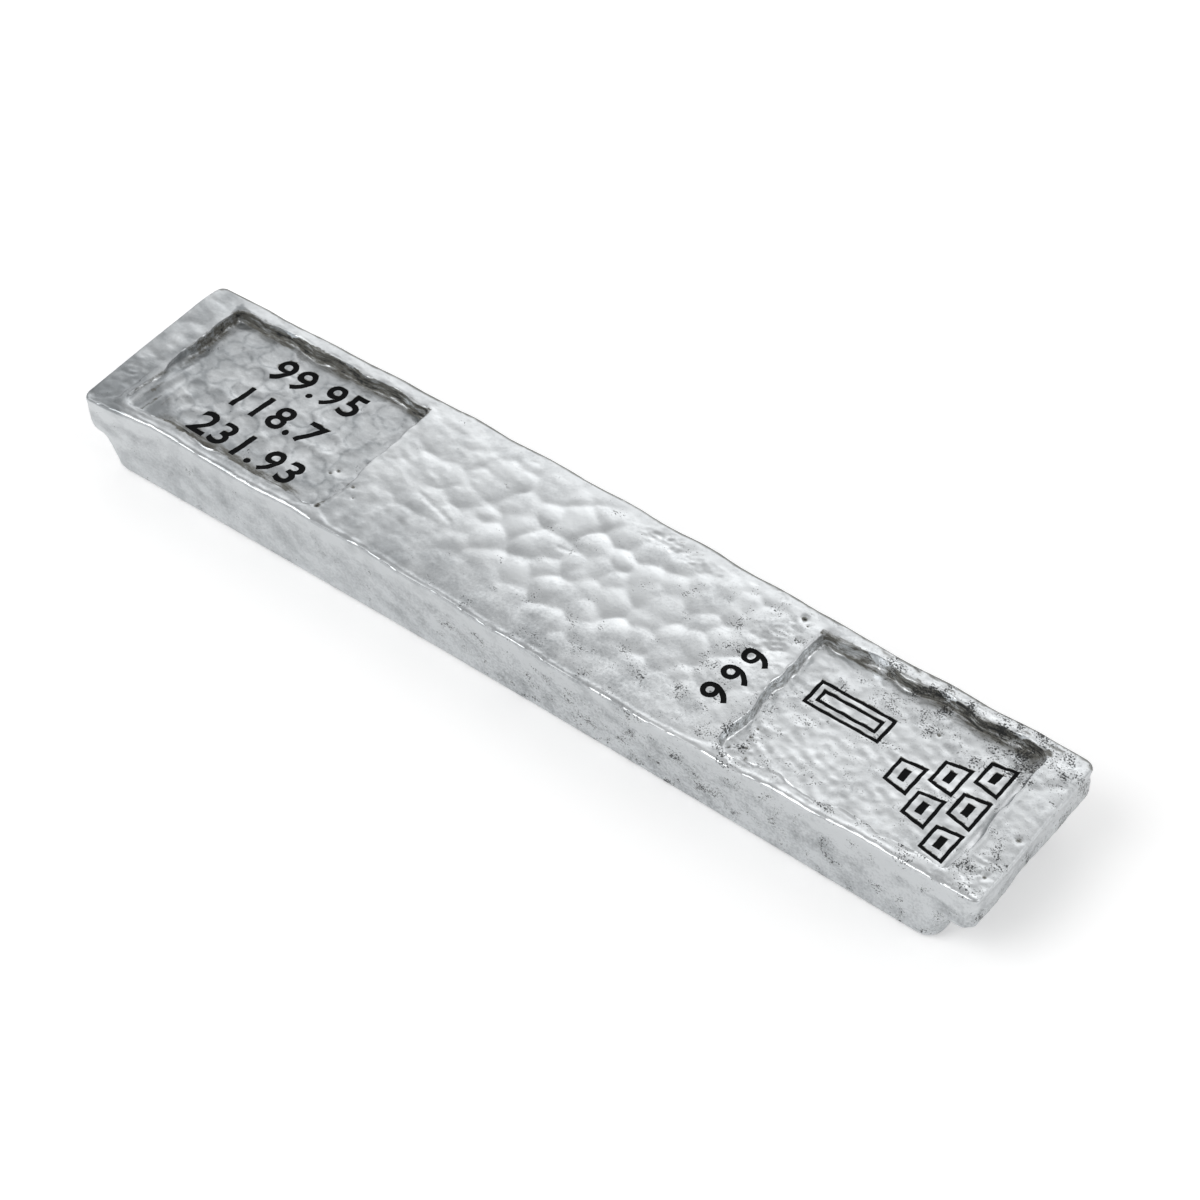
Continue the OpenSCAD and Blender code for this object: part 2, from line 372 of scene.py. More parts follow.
def floor_relief(p, swell, grain, fine, settings):
    """The panels' floors: dimpled on the left, rougher and more uneven on the right, in mm."""
    spacing, depth = settings.dimple_spacing / MM, settings.dimple_depth / MM
    low, high = CAD_LOW / MM, CAD_HIGH / MM
    dimples = 1 - lumps(p[:, :2], scatter(low, high, spacing, FLOOR_SEED), spacing)
    patchy = smooth(waves(p, 9, 41), -0.6, 0.9)
    right = smooth(p[:, 0], -5, 5)
    amount = depth * (1 - right) * (0.4 + 0.6 * patchy) + 0.6 * depth * right * patchy
    uneven = (0.03 + 0.05 * right) * swell
    return amount * (dimples - 0.4) + uneven + (0.014 + 0.012 * right) * grain + 0.006 * fine


def side_relief(p, grain, fine, settings):
    """The sides: shallow dents, and a rougher right end, in mm."""
    spacing, depth = settings.dimple_spacing / MM, settings.dimple_depth / MM
    low, high = (CAD_LOW.x / MM, CAD_LOW.z / MM), (CAD_HIGH.x / MM, CAD_HIGH.z / MM)
    dimples = 1 - lumps(p[:, [0, 2]], scatter(low, high, spacing, 31), spacing)
    patchy = smooth(waves(p, 7, 43), -0.3, 1.0)
    right_end = smooth(p[:, 0], 48.3, 49.3)
    dents = 0.35 * depth * patchy * (dimples - 1) * (1 + 1.5 * right_end)
    return dents + (0.012 + 0.022 * right_end) * (grain - 1.2) + 0.005 * fine


def stray_mouths(shape, p, settings):
    """Moves the panels' walls and edges sideways, so that the mouths aren't ruled lines."""
    x, y, z = p.T
    left, right, near, far = shape.feet(x, y)
    stray = settings.mouth_stray / MM
    wall_middle, reach = -0.3, 0.8
    along_x = 0.85 * waves(x[:, None], 7, 51, 9) + 0.15 * waves(x[:, None], 2.6, 53, 9)
    along_y = 0.85 * waves(y[:, None], 6, 55, 9) + 0.15 * waves(y[:, None], 2.4, 57, 9)
    beside_y = smooth(left, -1.4, -0.6) * smooth(right, -1.4, -0.6)
    beside_x = smooth(near, -1.4, -0.6) * smooth(far, -1.4, -0.6)
    upper = smooth(z, shape.floor - 0.6, shape.floor - 0.1)
    shift_y = (near_zero(near - wall_middle, reach) + near_zero(far - wall_middle, reach)) * along_x
    shift_x = (near_zero(left - wall_middle, reach) + near_zero(right - wall_middle, reach)) * along_y
    p[:, 1] += stray * upper * beside_y * shift_y
    p[:, 0] += stray * upper * beside_x * shift_x


def fill_corners(shape, p):
    """Raises the panel floors where the casting is shallow: the left panel's near left corner, in
    streaks, and a soft slope along the right panel's right wall."""
    x, y, z = p.T
    left, right, near, far = shape.feet(x, y)
    inside = (np.minimum.reduce([left, right, near, far]) > -1.1) * (z > shape.floor - 0.3)
    ridges = waves(np.stack([left, 0.12 * y], 1), 1.1, 71, 14)
    corner = (0.84 + 0.1 * ridges) * smooth(left, 4.2, -0.6) * smooth(y, 3, -6) * (x < 0)
    slope = 0.35 * smooth(right, 1.0, -0.1) * (x > 0)
    share = np.clip(corner + slope, 0, 0.96) * inside
    p[:, 2] += (shape.top - z) * share


def lay_relief(shape, mesh, settings):
    """Moves the casting's vertices, never out of the frame's box."""
    p = read_vectors(mesh, "co") / MM
    normal = read_vectors(mesh, "normal")
    swell = waves(p, 8, 3)
    grain = waves(p, 1.15, 5, 40)
    fine = waves(p, 0.6, 7, 40)
    level = smooth(normal[:, 2], 0.7, 0.97)
    on_top = level * smooth(p[:, 2], shape.top - 0.6, shape.top - 0.3)
    on_floor = level * smooth(np.abs(p[:, 2] - shape.floor), 0.5, 0.3)
    left, right, near, far = shape.feet(p[:, 0], p[:, 1])
    inside = (np.minimum.reduce([left, right, near, far]) > -0.7) * (p[:, 2] > shape.floor - 0.3)
    marks = marks_relief(p[:, 0], p[:, 1], 0.4 * grain + 0.6 * fine)
    wall = 0.02 * waves(p, 2.2, 13) + 0.015 * grain + 0.008 * fine
    # Dents keep off the upper edges
    side = side_relief(p, grain, fine, settings) * smooth(shape.top - p[:, 2], 0.2, 1.2)
    # The whole bar swells a little
    even = 0.04 * (swell - 1.4)
    rest = np.where(inside, wall, side + even)
    moved = (
        on_top * (top_relief(shape, p, swell, grain, fine, settings) + marks + even)
        + on_floor * (floor_relief(p, swell, grain, fine, settings) + marks)
        + (1 - on_top - on_floor) * rest
    )
    # Small dents break the near edge's shine
    at_ridge = near_zero(p[:, 1] - shape.near_edge(p[:, 0]), 0.6) * smooth(shape.top - p[:, 2], 0.8, 0.3)
    beads = 0.5 * waves(p[:, :1], 1.6, 67, 12) + 0.7 * waves(p[:, :1], 4.5, 68, 12)
    moved += 0.014 * at_ridge * (beads - 1.0)
    # The base stays flat
    moved *= smooth(p[:, 2], 0.3, 1.0)
    p += normal * moved[:, None]
    # The top face falls off towards the far edge and the ends
    from_far = shape.far_edge(p[:, 0]) - p[:, 1]
    fall = 0.22 * smooth(from_far, 3.5, 0) ** 2
    fall += 0.08 * smooth(np.abs(p[:, 0]), 46.5, 49.5) * (1 + 0.5 * swell)
    p[:, 2] -= fall * smooth(p[:, 2], shape.top - 2.5, shape.top - 0.5)
    stray_mouths(shape, p, settings)
    fill_corners(shape, p)
    np.clip(p, CAD_LOW / MM, CAD_HIGH / MM, out=p)
    mesh.vertices.foreach_set("co", (p * MM).ravel())
    mesh.update()


class INGOT_OT_casting(bpy.types.Operator):
    """Copies the bar, lays the cast and hammered relief on it and thins its mesh"""

    bl_idname = "ingot.casting"
    bl_label = "Casting"

    def execute(self, context):
        settings = context.scene.ingot_relief
        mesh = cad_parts["ingot"].data.copy()
        mesh.materials.clear()
        bm = bmesh.new()
        bm.from_mesh(mesh)
        bmesh.ops.remove_doubles(bm, verts=bm.verts, dist=0.001 * MM)
        bm.to_mesh(mesh)
        bm.free()
        casting = new_object(CASTING, mesh)
        remesh = casting.modifiers.new("Even grid", "REMESH")
        remesh.mode = "VOXEL"
        remesh.voxel_size = settings.grid
        # The grid leaves small steps along the edges
        evened = casting.modifiers.new("Evened", "SMOOTH")
        evened.factor = 0.5
        evened.iterations = 4
        settle(casting)
        lay_relief(Shape(), casting.data, settings)
        thin = casting.modifiers.new("Thinned", "DECIMATE")
        thin.ratio = min(1, settings.face_count / (2 * len(casting.data.polygons)))
        thin.use_collapse_triangulate = True
        settle(casting)
        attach(casting, "root")
        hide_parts("ingot")
        return {"FINISHED"}


def roughened(bm, step, stray):
    """Divides the long edges of a flat outline and lets its points stray, as a hand-held tool does."""
    for _ in range(4):
        long_edges = [e for e in bm.edges if e.calc_length() > step and e.is_boundary]
        bmesh.ops.subdivide_edges(bm, edges=long_edges, cuts=1)
    for v in bm.verts:
        push = noise.noise_vector(v.co / step * 0.6) * stray
        v.co += Vector((push.x, push.y, 0))


def prism(bm, low, high):
    """Turns a flat outline into a closed prism between two heights."""
    bmesh.ops.triangulate(bm, faces=bm.faces)
    for v in bm.verts:
        v.co.z = low
    made = bmesh.ops.extrude_face_region(bm, geom=bm.faces[:], use_keep_orig=True)["geom"]
    raised = [g for g in made if isinstance(g, bmesh.types.BMVert)]
    bmesh.ops.translate(bm, vec=(0, 0, high - low), verts=raised)
    bmesh.ops.recalc_face_normals(bm, faces=bm.faces)
    twisted = [e for e in bm.edges if not e.is_contiguous]
    if twisted or bm.calc_volume(signed=True) < 0:
        raise RuntimeError(f"the prism isn't one closed skin: {len(twisted)} edges are wrong")


def cut(obj, tool, operation):
    """Applies one Boolean."""
    step = obj.modifiers.new("Cut", "BOOLEAN")
    step.operation = operation
    step.solver = "MANIFOLD"
    step.object = tool
    settle(obj)


def engrave(context, name, outline, low, high):
    """Sinks a flat outline into the casting, down to low, and fills the groove with black."""
    settings = context.scene.ingot_marks
    casting = bpy.data.objects[CASTING]
    roughened(outline, 0.4 * MM, settings.stray)
    clearance = 0.02 * MM

    fill_mesh = bpy.data.meshes.new(name)
    body = outline.copy()
    prism(body, low + clearance, high)
    body.to_mesh(fill_mesh)
    body.free()
    fill = new_object(name, fill_mesh)
    lowered = new_object("Lowered casting", casting.data.copy())
    lowered.data.transform(Matrix.Translation((0, 0, -settings.fill_drop)))
    cut(fill, lowered, "INTERSECT")
    bpy.data.objects.remove(lowered)

    tool_mesh = bpy.data.meshes.new("Graver")
    prism(outline, low, high)
    outline.to_mesh(tool_mesh)
    outline.free()
    tool = new_object("Graver", tool_mesh)
    cut(casting, tool, "DIFFERENCE")
    bpy.data.objects.remove(tool)
    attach(fill, "root")
    if not fill.data.polygons:
        raise RuntimeError(f"{name} came out empty")


def figures(text, height, stroke, middle, turn, lean=0.12, spread=1.1):
    """Flat outline of bold figures, centred on a point and turned about Z."""
    curve = bpy.data.curves.new("Figures", "FONT")
    curve.body = text
    curve.size = 1.0
    curve.shear = lean
    curve.space_character = spread
    curve.resolution_u = 5
    probe = new_object("Figures", curve)
    plain = finished_mesh(probe)
    tall = max(v.co.y for v in plain.vertices) - min(v.co.y for v in plain.vertices)
    # The font's own stroke is about this share of its height
    own_stroke = 0.128
    scale = (height - stroke + own_stroke * height) / tall
    curve.offset = max(0, (stroke - own_stroke * height) / 2 / scale)
    mesh = finished_mesh(probe)
    bpy.data.objects.remove(probe)
    bm = bmesh.new()
    bm.from_mesh(mesh)
    bmesh.ops.remove_doubles(bm, verts=bm.verts, dist=0.002)
    low = Vector(map(min, *[v.co for v in bm.verts]))
    high = Vector(map(max, *[v.co for v in bm.verts]))
    centre = Matrix.Translation(-(low + high) / 2)
    place = Matrix.Translation(Vector(middle).to_3d()) @ Matrix.Rotation(turn, 4, "Z")
    place = place @ Matrix.Scale(scale, 4)
    bmesh.ops.transform(bm, matrix=place @ centre, verts=bm.verts)
    return bm


def add_to(bm, other):
    """Moves another bmesh's faces into this one."""
    mesh = bpy.data.meshes.new("Part")
    other.to_mesh(mesh)
    other.free()
    bm.from_mesh(mesh)
    bpy.data.meshes.remove(mesh)


class INGOT_OT_numbers(bpy.types.Operator):
    """Engraves the three lines of figures in the left panel and the figures beside the right panel"""

    bl_idname = "ingot.numbers"
    bl_label = "Numbers"

    # Text, middle of the line in mm, turn in degrees
    panel_lines = (("99.95", (-33.6, 4.9), 2), ("118.7", (-34.0, -0.3), 0), ("231.93", (-33.9, -5.2), -1))
    short_middle = (19.5, -1.2)
    short_height = 3.0
    short_turn = 84
    short_spread = 1.35

    def execute(self, context):
        settings = context.scene.ingot_marks
        together = bmesh.new()
        for text, middle, turn in self.panel_lines:
            line = figures(
                text, settings.number_height, settings.stroke, [c * MM for c in middle], math.radians(turn)
            )
            add_to(together, line)
        # The floors' relief stays within this much of their level
        ripple = 0.2 * MM
        low = FLOOR_Z - ripple - settings.groove_depth
        engrave(context, "panel_number_fill", together, low, FLOOR_Z + 3 * ripple)
        middle = [c * MM for c in self.short_middle]
        turn = math.radians(self.short_turn)
        height = self.short_height * MM
        stroke = settings.stroke * height / settings.number_height
        short = figures("999", height, stroke, middle, turn, 0, self.short_spread)
        low = TOP_Z - 2 * ripple - settings.groove_depth
        engrave(context, "edge_number_fill", short, low, TOP_Z + ripple)
        return {"FINISHED"}


def plate(bm, corners):
    """One flat face through the corners, given in mm."""
    face = bm.faces.new([bm.verts.new((x * MM, y * MM, 0)) for x, y in corners])
    face.normal_update()
    return face


def outlined(bm, corners, line):
    """A line of that width inside the corners."""
    face = plate(bm, corners)
    bmesh.ops.inset_region(bm, faces=[face], use_boundary=True, thickness=line, use_even_offset=True)
    bmesh.ops.delete(bm, geom=[face], context="FACES")


class INGOT_OT_picture(bpy.types.Operator):
    """Engraves a stack of ingots and an open mould in the right panel"""

    bl_idname = "ingot.picture"
    bl_label = "Picture"

    # The stack's foot is towards the ingot's right end; all in mm
    foot_x, middle_y = 44.8, -0.7
    foot_l, top_l, bar_h, gap = 3.8, 2.9, 2.7, 0.55
    window_l, window_h = 1.4, 0.75
    rows = 3
    mould_middle, mould_l, mould_w, mould_wall = (29.2, 2.4), 8.0, 3.2, 0.8

    def execute(self, context):
        line = context.scene.ingot_marks.line
        bm = bmesh.new()
        for row in range(self.rows):
            x0 = self.foot_x - row * (self.bar_h + self.gap)
            x1 = x0 - self.bar_h
            x2 = (x0 + x1 + self.window_h) / 2
            count = self.rows - row
            for place in range(count):
                y = self.middle_y + (place - (count - 1) / 2) * (self.foot_l + self.gap)
                foot, top, window = self.foot_l / 2, self.top_l / 2, self.window_l / 2
                outlined(bm, [(x0, y - foot), (x0, y + foot), (x1, y + top), (x1, y - top)], line)
                x3 = x2 - self.window_h
                plate(bm, [(x2, y - window), (x2, y + window), (x3, y + window), (x3, y - window)])
        x, y = self.mould_middle
        for wall in (0, self.mould_wall):
            half_l, half_w = self.mould_l / 2 - wall, self.mould_w / 2 - wall
            corners = [(-half_l, -half_w), (half_l, -half_w), (half_l, half_w), (-half_l, half_w)]
            outlined(bm, [(x + across, y + up) for across, up in corners], line)
        ripple = 0.3 * MM
        depth = context.scene.ingot_marks.groove_depth
        engrave(context, "picture_fill", bm, FLOOR_Z - ripple - depth, FLOOR_Z + 3 * ripple)
        return {"FINISHED"}


def node(tree, kind, settings=None, links=None):
    """Adds a shader node, sets its properties or sockets and links its inputs."""
    made = tree.nodes.new(kind)
    for key, value in (settings or {}).items():
        if isinstance(key, str) and hasattr(made, key):
            setattr(made, key, value)
        else:
            made.inputs[key].default_value = value
    for key, source in (links or {}).items():
        tree.links.new(source, made.inputs[key])
    return made


# The colour sockets of a Mix node share their names with its other sockets, so they go by number
FACTOR, A, B, RESULT = 0, 6, 7, 2


def new_material(name):
    material = bpy.data.materials.new(name)
    material.use_nodes = True
    material.node_tree.nodes.clear()
    return material, material.node_tree


def per_metre(millimetres):
    """Scale of a noise whose features are that size."""
    return 1 / (millimetres * MM)


def tin_material(finish):
    """Cast tin, satin from handling: a pale grey metal with dull patches, black pin holes where the mould
    left gas, dark oxide that polishing leaves in the low corners, and painted shade on the panel walls, at
    their feet and mouths, in the floor dimples and along the far edge."""
    material, tree = new_material("Cast tin with oxide and painted shade")
    place = node(tree, "ShaderNodeTexCoord").outputs["Object"]
    dull_and_shade = node(tree, "ShaderNodeAttribute", {"attribute_name": "dull_and_shade"}).outputs["Fac"]
    oxide_and_shade = node(tree, "ShaderNodeAttribute", {"attribute_name": "oxide_and_shade"}).outputs["Fac"]
    specks = node(tree, "ShaderNodeAttribute", {"attribute_name": "specks"}).outputs["Fac"]
    # Dulled patches about 2.5 mm across, a little drawn out along the bar
    along = node(tree, "ShaderNodeMapping", {"Scale": (0.7, 1.0, 1.0)}, {"Vector": place}).outputs["Vector"]
    patches = node(tree, "ShaderNodeTexNoise", {"Scale": per_metre(2.5), "Detail": 6.0, "Roughness": 0.65},
                   {"Vector": along}).outputs["Fac"]
    patchy = node(tree, "ShaderNodeMath", {"operation": "MULTIPLY_ADD", 1: 1.6, 2: -0.8}, {0: patches})
    # Fine mottling where the casting is porous
    grain = node(tree, "ShaderNodeTexNoise", {"Scale": per_metre(0.3), "Detail": 5.0, "Roughness": 0.65},
                 {"Vector": place}).outputs["Fac"]
    centred = node(tree, "ShaderNodeMath", {"operation": "MULTIPLY_ADD", 1: 3.0, 2: -1.6},
                   {0: grain}).outputs["Value"]
    # The greying mask added here holds painted shade as well: the dimple rings, the left panel's floor near
    # its walls and the far edge
    mottled = node(tree, "ShaderNodeMath", {"operation": "MULTIPLY_ADD"}, {0: centred, 1: specks, 2: dull_and_shade})
    dulled_and_shaded = node(tree, "ShaderNodeMath", {"operation": "ADD", "use_clamp": True},
                  {0: patchy.outputs["Value"], 1: mottled.outputs["Value"]}).outputs["Value"]
    clean = node(tree, "ShaderNodeMix", {"data_type": "RGBA", A: (*finish.tin, 1), B: (*finish.dull_and_shade, 1)},
                 {FACTOR: dulled_and_shaded}).outputs[RESULT]
    # Oxide in streaks along the walls, as the cloth left it, and painted shade streaked the same way
    drawn_out = node(tree, "ShaderNodeMapping", {"Scale": (0.3, 1.0, 1.6)},
                     {"Vector": place}).outputs["Vector"]
    streaks = node(tree, "ShaderNodeTexNoise", {"Scale": per_metre(0.7), "Detail": 5.0, "Roughness": 0.7},
                   {"Vector": drawn_out}).outputs["Fac"]
    streaky = node(tree, "ShaderNodeMath", {"operation": "MULTIPLY_ADD", 1: 3.6, 2: -0.8}, {0: streaks})
    oxide_and_shade_level = node(tree, "ShaderNodeMath", {"operation": "MULTIPLY"},
                       {0: streaky.outputs["Value"], 1: oxide_and_shade}).outputs["Value"]
    oxide_and_shade_cover = node(tree, "ShaderNodeMapRange",
                       {"interpolation_type": "SMOOTHSTEP", "From Min": 0.2, "From Max": 0.85},
                       {"Value": oxide_and_shade_level}).outputs["Result"]
    # Painted shade makes the far edge matt and grey
    worn = node(tree, "ShaderNodeAttribute", {"attribute_name": "worn"}).outputs["Fac"]
    worn_cover = node(tree, "ShaderNodeMath", {"operation": "MULTIPLY", 1: 0.8}, {0: worn})
    oxide_and_shade_share = node(tree, "ShaderNodeMath", {"operation": "MAXIMUM"},
                   {0: oxide_and_shade_cover, 1: worn_cover.outputs["Value"]}).outputs["Value"]
    # The darkest of the oxide and painted shade takes the soot colour
    darkest = node(tree, "ShaderNodeMapRange",
                   {"interpolation_type": "SMOOTHSTEP", "From Min": 0.85, "From Max": 1.2},
                   {"Value": oxide_and_shade_level}).outputs["Result"]
    with_oxide_and_shade = node(tree, "ShaderNodeMix", {"data_type": "RGBA", B: (*finish.oxide_and_shade, 1)},
                    {FACTOR: oxide_and_shade_share, A: clean}).outputs[RESULT]
    with_soot_and_deep_shade = node(tree, "ShaderNodeMix", {"data_type": "RGBA", B: (*finish.soot_and_deep_shade, 1)},
                 {FACTOR: darkest, A: with_oxide_and_shade}).outputs[RESULT]
    # Pin holes 0.1 to 0.3 mm wide, in clusters about 2 mm across
    pin_noise = node(tree, "ShaderNodeTexNoise", {"Scale": per_metre(0.17), "Detail": 2.0}, {"Vector": place})
    clusters = node(tree, "ShaderNodeTexNoise", {"Scale": per_metre(1.9), "Detail": 2.0}, {"Vector": place})
    both = node(tree, "ShaderNodeMath", {"operation": "ADD"},
                {0: pin_noise.outputs["Fac"], 1: clusters.outputs["Fac"]}).outputs["Value"]
    hole_level = node(tree, "ShaderNodeMath", {"operation": "MULTIPLY_ADD", 1: 0.35}, {0: specks, 2: both})
    holes = node(tree, "ShaderNodeMapRange",
                 {"interpolation_type": "SMOOTHSTEP", "From Min": 1.35, "From Max": 1.53, "To Max": 0.9},
                 {"Value": hole_level.outputs["Value"]}).outputs["Result"]
    holed = node(tree, "ShaderNodeMix", {"data_type": "RGBA", B: (*finish.soot_and_deep_shade, 1)},
                 {FACTOR: holes, A: with_soot_and_deep_shade}).outputs[RESULT]
    # Oxide and the painted shade are no metal
    bare = node(tree, "ShaderNodeMath", {"operation": "MULTIPLY_ADD", 1: -0.85, 2: 1.0}, {0: oxide_and_shade_share})
    rough = node(tree, "ShaderNodeMapRange",
                 {"From Min": 0.2, "From Max": 0.8, "To Min": 0.27, "To Max": 0.4},
                 {"Value": grain}).outputs["Result"]
    rougher = node(tree, "ShaderNodeMath", {"operation": "MULTIPLY_ADD", 1: 0.3}, {0: oxide_and_shade_share, 2: rough})
    height = node(tree, "ShaderNodeMath", {"operation": "MULTIPLY_ADD", 1: -1.5}, {0: holes, 2: grain})
    bump = node(tree, "ShaderNodeBump", {"Strength": 0.5, "Distance": 0.03 * MM},
                {"Height": height.outputs["Value"]})
    shader = node(tree, "ShaderNodeBsdfPrincipled", None,
                  {"Base Color": holed, "Metallic": bare.outputs["Value"],
                   "Roughness": rougher.outputs["Value"], "Normal": bump.outputs["Normal"]})
    node(tree, "ShaderNodeOutputMaterial", None, {"Surface": shader.outputs["BSDF"]})
    return material


def enamel_material(finish):
    """Black enamel rubbed into the grooves: matt, a little uneven, with hardly any sheen."""
    material, tree = new_material("Black enamel rubbed in")
    place = node(tree, "ShaderNodeTexCoord").outputs["Object"]
    grain = node(tree, "ShaderNodeTexNoise", {"Scale": per_metre(0.3), "Detail": 4.0}, {"Vector": place})
    bump = node(tree, "ShaderNodeBump", {"Strength": 0.3, "Distance": 0.03 * MM},
                {"Height": grain.outputs["Fac"]})
    shader = node(tree, "ShaderNodeBsdfPrincipled",
                  {"Base Color": (*finish.fill, 1), "Roughness": 0.8, "Specular IOR Level": 0.1},
                  {"Normal": bump.outputs["Normal"]})
    node(tree, "ShaderNodeOutputMaterial", None, {"Surface": shader.outputs["BSDF"]})
    return material


def floor_material(finish):
    """White paper: the camera and the metal see it white, and it keeps the shadow."""
    material, tree = new_material("White paper")
    shader = node(tree, "ShaderNodeBsdfDiffuse", {"Color": (*finish.floor, 1)})
    rays = node(tree, "ShaderNodeLightPath")
    camera_glow, glossy_glow = 0.28, 0.08
    in_metal = node(tree, "ShaderNodeMath", {"operation": "MULTIPLY", 1: glossy_glow},
                    {0: rays.outputs["Is Glossy Ray"]}).outputs["Value"]
    seen = node(tree, "ShaderNodeMath", {"operation": "MULTIPLY_ADD", 1: camera_glow},
                {0: rays.outputs["Is Camera Ray"], 2: in_metal})
    glow = node(tree, "ShaderNodeEmission", {"Color": (1, 1, 1, 1)}, {"Strength": seen.outputs["Value"]})
    both = node(tree, "ShaderNodeAddShader", None, {0: shader.outputs["BSDF"], 1: glow.outputs["Emission"]})
    node(tree, "ShaderNodeOutputMaterial", None, {"Surface": both.outputs["Shader"]})
    return material


def write_attribute(mesh, name, values):
    layer = mesh.attributes.new(name, "FLOAT", "POINT")
    layer.data.foreach_set("value", np.clip(values, 0, 1).astype(np.float32))


def oxide_and_shade_places(shape, p, normal):
    """0 to 1 where dark oxide stays, in the low corners and the pits, and where painted shade darkens the
    walls that face the near side and the right end, their feet and a panel mouth.
    """
    x, y, z = p.T
    left, right, near, far = shape.feet(x, y)
    inside = (np.minimum.reduce([left, right, near, far]) > -0.6) * (z > shape.floor - 0.5)
    below_mouth = smooth(shape.top - z, 0.1, 0.4)
    on_left_half = x < 0
    # Painted shade on the panel walls that face the near side and the right end
    faces_near = smooth(-normal[:, 1], 0.3, 0.75)
    faces_right = smooth(normal[:, 0], 0.3, 0.75)
    far_wall = faces_near * np.where(on_left_half, 0.85, 0.65 + 0.35 * smooth(x, 29, 36))
    left_wall = faces_right * np.where(on_left_half, 0.8 * smooth(y, -2, 3), 0.45)
    walls = np.maximum(far_wall, left_wall) * below_mouth
    # Painted shade hides the shine of the walls' feet
    left_wall_foot = near_zero(left - 0.05, 0.3) * on_left_half * smooth(y, -3, 1)
    wall_feet = np.maximum(near_zero(far - 0.05, 0.3), left_wall_foot)
    # Painted shade on the floor strips along the feet of the far, near and left walls
    far_foot = near_zero(np.maximum(far, 0), np.where(on_left_half, 0.8, 0.3 + 1.0 * smooth(x, 30, 40)))
    near_foot = near_zero(np.maximum(near, 0), 1.5) * on_left_half * smooth(x, -46, -40) * smooth(x, -24, -28)
    left_foot = near_zero(np.maximum(left, 0), 1.2) * on_left_half * smooth(y, -6, 2)
    streaks = smooth(waves(np.stack([left, 0.12 * y], 1), 0.75, 73, 14), 0.1, 1.1)
    corner = near_zero(left - 0.4, 2.2) * smooth(y, 1, -4) * on_left_half * streaks
    # Painted shade: the left panel's right mouth shows as a thin dark line, blackest towards the near side
    mouth_line = near_zero(right + 0.12, 0.22) * on_left_half * (0.7 + 0.4 * smooth(y, 0, -5))
    far_right_corner = near_zero(np.hypot(right - 0.6, far - 0.6), 2.4) * (x > 0)
    feet = np.maximum.reduce([
        0.55 * far_foot, 0.75 * near_foot, 0.45 * left_foot, 0.75 * corner, 0.5 * far_right_corner,
        0.7 * wall_feet,
    ])
    found = np.maximum.reduce([walls, feet, mouth_line]) * inside
    for px, py, radius, _, dark in PITS:
        found = np.maximum(found, 1.4 * dark * near_zero(np.hypot(x - px, y - py), radius * 0.8))
    return found


def worn_places(shape, p, normal):
    """0 to 1 along the far edge, where painted shade makes it matt and grey."""
    return smooth(normal[:, 1], 0.08, 0.3) * smooth(shape.top - p[:, 2], 1.5, 0.6) * (p[:, 1] > 8.8)


def speck_places(shape, p):
    """0 to 1 where pin holes crowd."""
    x, y, z = p.T
    left, right, near, far = shape.feet(x, y)
    on_top = smooth(shape.top - z, 0.6, 0.3)
    below = smooth(shape.top - z, 1.8, 2.4)
    found = 0.1 + 0.27 * smooth(x, -22, 16)
    found += 0.2 * on_top * smooth(y, -2, -8) * smooth(x, -16, 0)
    found += 0.3 * near_zero(np.hypot(x - 19.5, (y - 3) / 2), 3.5) * on_top
    found += 0.45 * near_zero(np.hypot(left - 0.8, (y + 4) / 3), 1.8) * (x > 0)
    found += 0.6 * near_zero(np.hypot(right - 1, far - 1), 3.2) * (x > 0)
    found += 0.42 * near_zero(far, 3.2) * smooth(x, 25, 30)
    found += 0.09 * (np.minimum(left, near) > 0) * smooth(x, 24, 26)
    found += 0.15 * near_zero(np.hypot(x - 47.5, (y + 6) / 2), 1.6)
    found += below * (0.16 + 0.2 * near_zero(x - 4, 24))
    found += 0.25 * near_zero(near, 1.6) * smooth(x, -46, -42) * smooth(x, -24, -28)
    return found


def dull_and_shade_places(shape, p, normal, settings):
    """0 to 1 where the metal is greyer, from dull patches and from painted shade."""
    x, y, z = p.T
    left, right, near, far = shape.feet(x, y)
    on_top = smooth(shape.top - z, 0.6, 0.3)
    in_left_panel = (np.minimum.reduce([left, right, near, far]) > -0.7) * (x < 0) * (shape.top - z > 0.3)
    near_strip = smooth(y, -2, -8) * smooth(x, 24, 10)
    left_rim = smooth(x, -45, -47)
    below = smooth(shape.top - z, 1.8, 2.4)
    left_near = smooth(y, 2, -4) * smooth(x, -6, -14)
    found = 0.04 + 0.24 * below + on_top * (0.42 * near_strip + 0.6 * left_rim + 0.15 * left_near)
    found -= on_top * 0.08 * smooth(x, 15, 25)
    field = smooth(np.abs(x), 23, 18) * on_top
    found += 0.12 * waves(p, 2.4, 81, 30) * (1 - 0.8 * field)
    found -= 0.15 * smooth(x, 15, 25) * (1 - on_top) * (1 - below)
    # Painted shade: the far edge is greyer too
    found += 0.8 * smooth(normal[:, 1], 0.15, 0.5) * smooth(shape.top - z, 0.9, 0.5) * (y > 8.8)
    # The left panel's floor is greyer, with painted shade growing towards its left and near walls
    found += in_left_panel * (0.4 + 0.25 * smooth(left, 7, 0) + 0.2 * smooth(near, 5, 0))
    # Painted shade: a grey ring on the slope of each dimple of the left panel's floor
    spacing = settings.dimple_spacing / MM
    dimples = lumps(p[:, :2], scatter(CAD_LOW / MM, CAD_HIGH / MM, spacing, FLOOR_SEED), spacing)
    shade_ring_level = 0.58
    found += 0.45 * in_left_panel * near_zero(dimples - shade_ring_level, 0.07)
    return found


